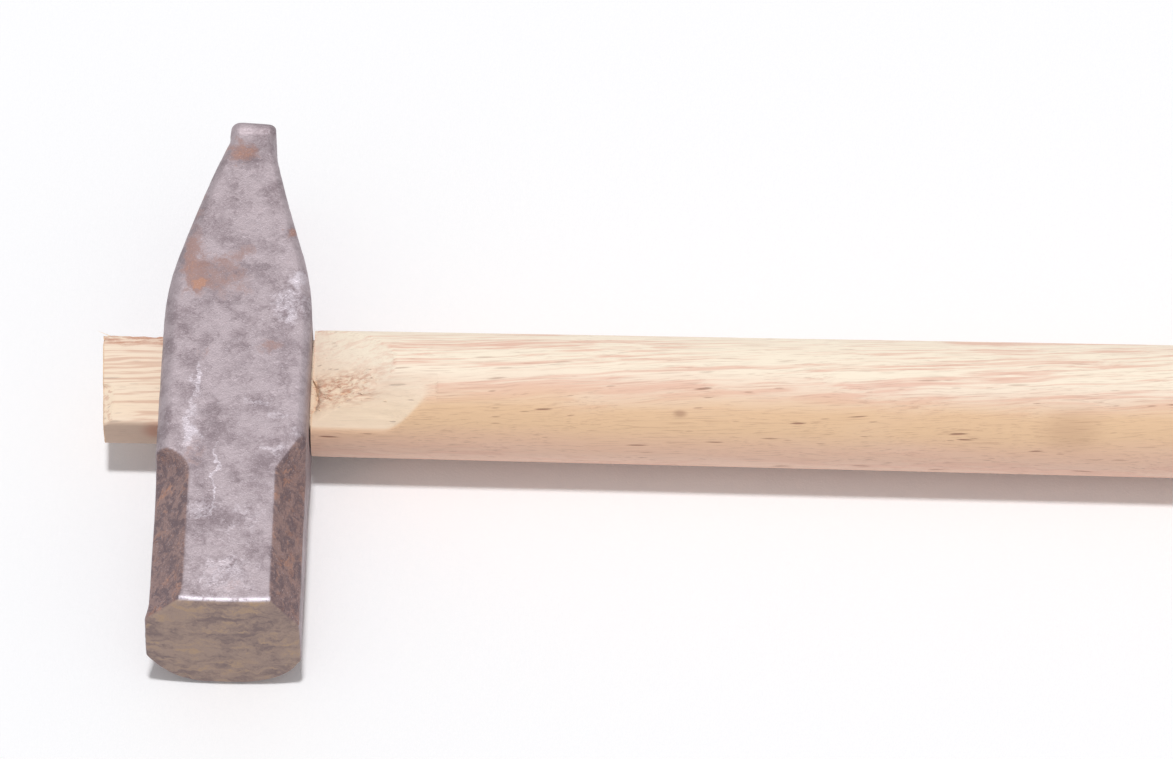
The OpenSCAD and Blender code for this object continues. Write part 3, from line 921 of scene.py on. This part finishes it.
class HAMMER_OT_fibres(bpy.types.Operator):
    """Raises torn fibres on the tenon's far corner and beside the head"""

    bl_idname = "hammer.fibres"
    bl_label = "Raise the fibres"
    # How many fibres stand up beside the head, and the seed of their random draws
    COUNT, SEED = 26, 11
    # Where their feet are, how far their tips lean and rise, and their width, in millimetres
    FOOT_X, FOOT_Y, WIDTH = (15.6, 30), (-8, 0), (0.15, 0.35)
    LEAN_X, LEAN_Y, RISE = (-2, 2.6), (-0.5, 0.5), (0.7, 1.1)
    # How deep each foot is buried, and how far each fibre bends, in millimetres
    BURIED, BEND = 0.5, 0.1
    # The splinter on the tenon's far corner: foot, tip and width, in millimetres
    SPLINTER = ((-25.6, 10, 18.4), (-28.3, 10.9, 18.9), 0.3)

    def execute(self, context):
        shape = HaftShape(context.scene.hammer_haft)
        draw = np.random.default_rng(self.SEED)
        foot, tip, width = self.SPLINTER
        strands = [fibre(np.array(foot) * MM, np.array(tip) * MM, width * MM, (0, 0, 0))]
        for _ in range(self.COUNT):
            x, y = draw.uniform(*self.FOOT_X) * MM, draw.uniform(*self.FOOT_Y) * MM
            middle, upwards = np.array([[x, y, AXIS[2]]]), np.array([[0, 0, GRIP_R]])
            foot = cast(shape.round_part, middle, upwards)[0] - [0, 0, self.BURIED * MM]
            lean = [draw.uniform(*self.LEAN_X), draw.uniform(*self.LEAN_Y), draw.uniform(*self.RISE)]
            width = draw.uniform(*self.WIDTH) * MM
            strands.append(fibre(foot, foot + np.array(lean) * MM, width, (0, 0, self.BEND * MM)))
        points, faces, count = [], [], 0
        for rings in strands:
            some, sides = skin(rings)
            faces += [[count + i for i in face] for face in sides]
            points.append(some)
            count += len(some)
        points = np.vstack(points)
        raised = make_piece("raised_fibres", points, faces, {"cut": np.ones(len(points))})
        dress(raised, wood_paint(context.scene.hammer_finishes, "fibre_wood"))
        return {"FINISHED"}


class HAMMER_OT_wedge(bpy.types.Operator):
    """Builds the iron wedge, burred over at its struck end"""

    bl_idname = "hammer.wedge"
    bl_label = "Drive the wedge"
    # How deep the struck end sits, where its close rings end, and where the wide ones start
    SUNK, STRUCK_LENGTH, WIDE_START = 1.3 * MM, 2 * MM, 2.5 * MM
    # How many rings are close, and how many wide
    CLOSE_RINGS, WIDE_RINGS = 12, 24
    # How much thinner the wedge is at its far end, and its clearance in the pocket
    THINNER, CLEARANCE = 0.7, 0.04 * MM
    # How far the burr stands out up and down, and sideways, and how far back it goes
    BURR_UP, BURR_SIDE, BURR_LENGTH = 0.18 * MM, 0.15 * MM, 0.9 * MM
    # Radius of the long edges, bulge of the struck end and the shares of its rings
    EDGE, BULGE, SHARES = 0.25 * MM, 0.25 * MM, np.array([0.2, 0.5, 0.8, 0.94])

    def execute(self, context):
        far = WEDGE_HIGH.x - WEDGE_LOW.x - self.SUNK
        along = np.concatenate([
            np.linspace(0, self.STRUCK_LENGTH, self.CLOSE_RINGS),
            np.linspace(self.WIDE_START, far, self.WIDE_RINGS),
        ])
        burr = smooth(self.BURR_LENGTH, 0, along)
        half_y, half_z = (WEDGE_HIGH.y - WEDGE_LOW.y) / 2, (WEDGE_HIGH.z - WEDGE_LOW.z) / 2
        thin = half_z * (1 - self.THINNER * along / along[-1]) + self.BURR_UP * burr - self.CLEARANCE
        wide = half_y + self.BURR_SIDE * burr - self.CLEARANCE
        thin, wide = thin[:, None], wide[:, None]

        def depth(p):
            return round_off(np.abs(p[..., 1]) - wide, np.abs(p[..., 2] - AXIS[2]) - thin, self.EDGE)

        rings = cast(depth, *spokes(WEDGE_LOW.x + self.SUNK + along, BAR_SIDES, wide, thin))
        struck = disc(rings[0], self.SHARES)
        struck[..., 0] -= (self.BULGE * (1 - self.SHARES**4))[:, None]
        wedge = make_piece("iron_wedge", *skin(np.concatenate([struck, rings])), {})
        dress(wedge, iron_paint(context.scene.hammer_finishes), "end_wedge")
        return {"FINISHED"}


class HAMMER_OT_stage(bpy.types.Operator):
    """Lays the pale floor, and sets the light and the camera"""

    bl_idname = "hammer.stage"
    bl_label = "Set the stage"
    # Half the floor's side in metres, strength of sky and sun, and the sun's width and tilt in degrees
    REACH, SKY, SUN, SUN_WIDTH, SUN_TILT = 4.0, 0.44, 1.78, 5, 1
    # Width of the camera's sensor in millimetres, and the nearest and farthest that it sees in metres
    SENSOR, NEAREST, FARTHEST = 36, 0.05, 20

    def execute(self, context):
        studio, scene = context.scene.hammer_studio, context.scene
        scene.view_settings.view_transform = "Standard"
        self.lay_floor(scene, studio)
        self.light(scene)
        self.aim(scene, studio)
        return {"FINISHED"}

    def lay_floor(self, scene, studio):
        """Lays one square of matt cloth under the hammer."""
        corners = [(x * self.REACH, y * self.REACH, 0) for x, y in ((-1, -1), (1, -1), (1, 1), (-1, 1))]
        mesh = bpy.data.meshes.new("floor")
        mesh.from_pydata(corners, [], [(0, 1, 2, 3)])
        floor = bpy.data.objects.new("floor", mesh)
        scene.collection.objects.link(floor)
        cloth, p = new_paint("pale_cloth")
        p.finish((*studio.floor, 1), 0.0, 0.95, p.noise(p.place(), *WEAVE), CLOTH_RELIEF)
        mesh.materials.append(cloth)

    def light(self, scene):
        """Hangs a broad sun overhead, in a room that is dimmer than it looks to the camera."""
        sun = bpy.data.lights.new("overhead", "SUN")
        sun.energy, sun.angle = self.SUN, np.radians(self.SUN_WIDTH)
        lamp = bpy.data.objects.new("overhead", sun)
        lamp.rotation_euler = (np.radians(self.SUN_TILT), 0, 0)
        scene.collection.objects.link(lamp)
        world = bpy.data.worlds.new("white_room")
        world.use_nodes = True
        scene.world = world
        p = Paint(world.node_tree)
        seen = p.node("LightPath", {}, {}, "Is Camera Ray") | p.node("LightPath", {}, {}, "Is Glossy Ray")
        seen = seen | p.node("LightPath", {}, {}, "Is Transmission Ray")
        sky = {"Color": (1, 1, 1, 1), "Strength": self.SKY + (1 - self.SKY) * seen}
        p.node("OutputWorld", {}, {"Surface": p.node("Background", {}, sky)})

    def aim(self, scene, studio):
        """Sets the camera on its target, turned by its yaw and roll."""
        data = bpy.data.cameras.new("camera")
        data.sensor_fit, data.sensor_width, data.lens = "HORIZONTAL", self.SENSOR, studio.lens / MM
        data.clip_start, data.clip_end = self.NEAREST, self.FARTHEST
        camera = bpy.data.objects.new("camera", data)
        scene.collection.objects.link(camera)
        flat, high = np.cos(studio.elevation), np.sin(studio.elevation)
        back = Vector((np.sin(studio.yaw) * flat, -np.cos(studio.yaw) * flat, high))
        right = (-back).cross(Vector((0, 0, 1))).normalized()
        up = back.cross(right)
        x_axis = np.cos(studio.roll) * right + np.sin(studio.roll) * up
        y_axis = -np.sin(studio.roll) * right + np.cos(studio.roll) * up
        camera.matrix_world = Matrix((x_axis, y_axis, back)).transposed().to_4x4()
        camera.location = Vector(studio.target) + back * studio.distance
        scene.camera = camera


class HAMMER_PT_panel(bpy.types.Panel):
    """Lists the steps that build the hammer, and the sizes and colours that they use"""

    bl_label = "Hammer"
    bl_idname = "HAMMER_PT_panel"
    bl_space_type = "VIEW_3D"
    bl_region_type = "UI"
    bl_category = "Hammer"

    def draw(self, context):
        for step in STEPS:
            self.layout.operator(step.bl_idname)
        for group in GROUPS:
            for name in GROUPS[group].__annotations__:
                self.layout.prop(getattr(context.scene, group), name)


STEPS = (HAMMER_OT_stage, HAMMER_OT_head, HAMMER_OT_haft, HAMMER_OT_fibres, HAMMER_OT_wedge)
GROUPS = {
    "hammer_head": HeadSizes,
    "hammer_haft": HaftSizes,
    "hammer_finishes": Finishes,
    "hammer_studio": Studio,
}
CLASSES = (*GROUPS.values(), *STEPS, HAMMER_PT_panel)


def register():
    """Registers the classes, and gives the scene its sizes, colours and studio."""
    for cls in CLASSES:
        bpy.utils.register_class(cls)
    for name, group in GROUPS.items():
        setattr(bpy.types.Scene, name, PointerProperty(type=group))


def unregister():
    """Takes all of that away again."""
    for name in GROUPS:
        delattr(bpy.types.Scene, name)
    for cls in reversed(CLASSES):
        bpy.utils.unregister_class(cls)


def main():
    """Builds the hammer step by step."""
    register()
    for step in STEPS:
        group, name = step.bl_idname.split(".")
        getattr(getattr(bpy.ops, group), name)()


if __name__ == "__main__":
    main()
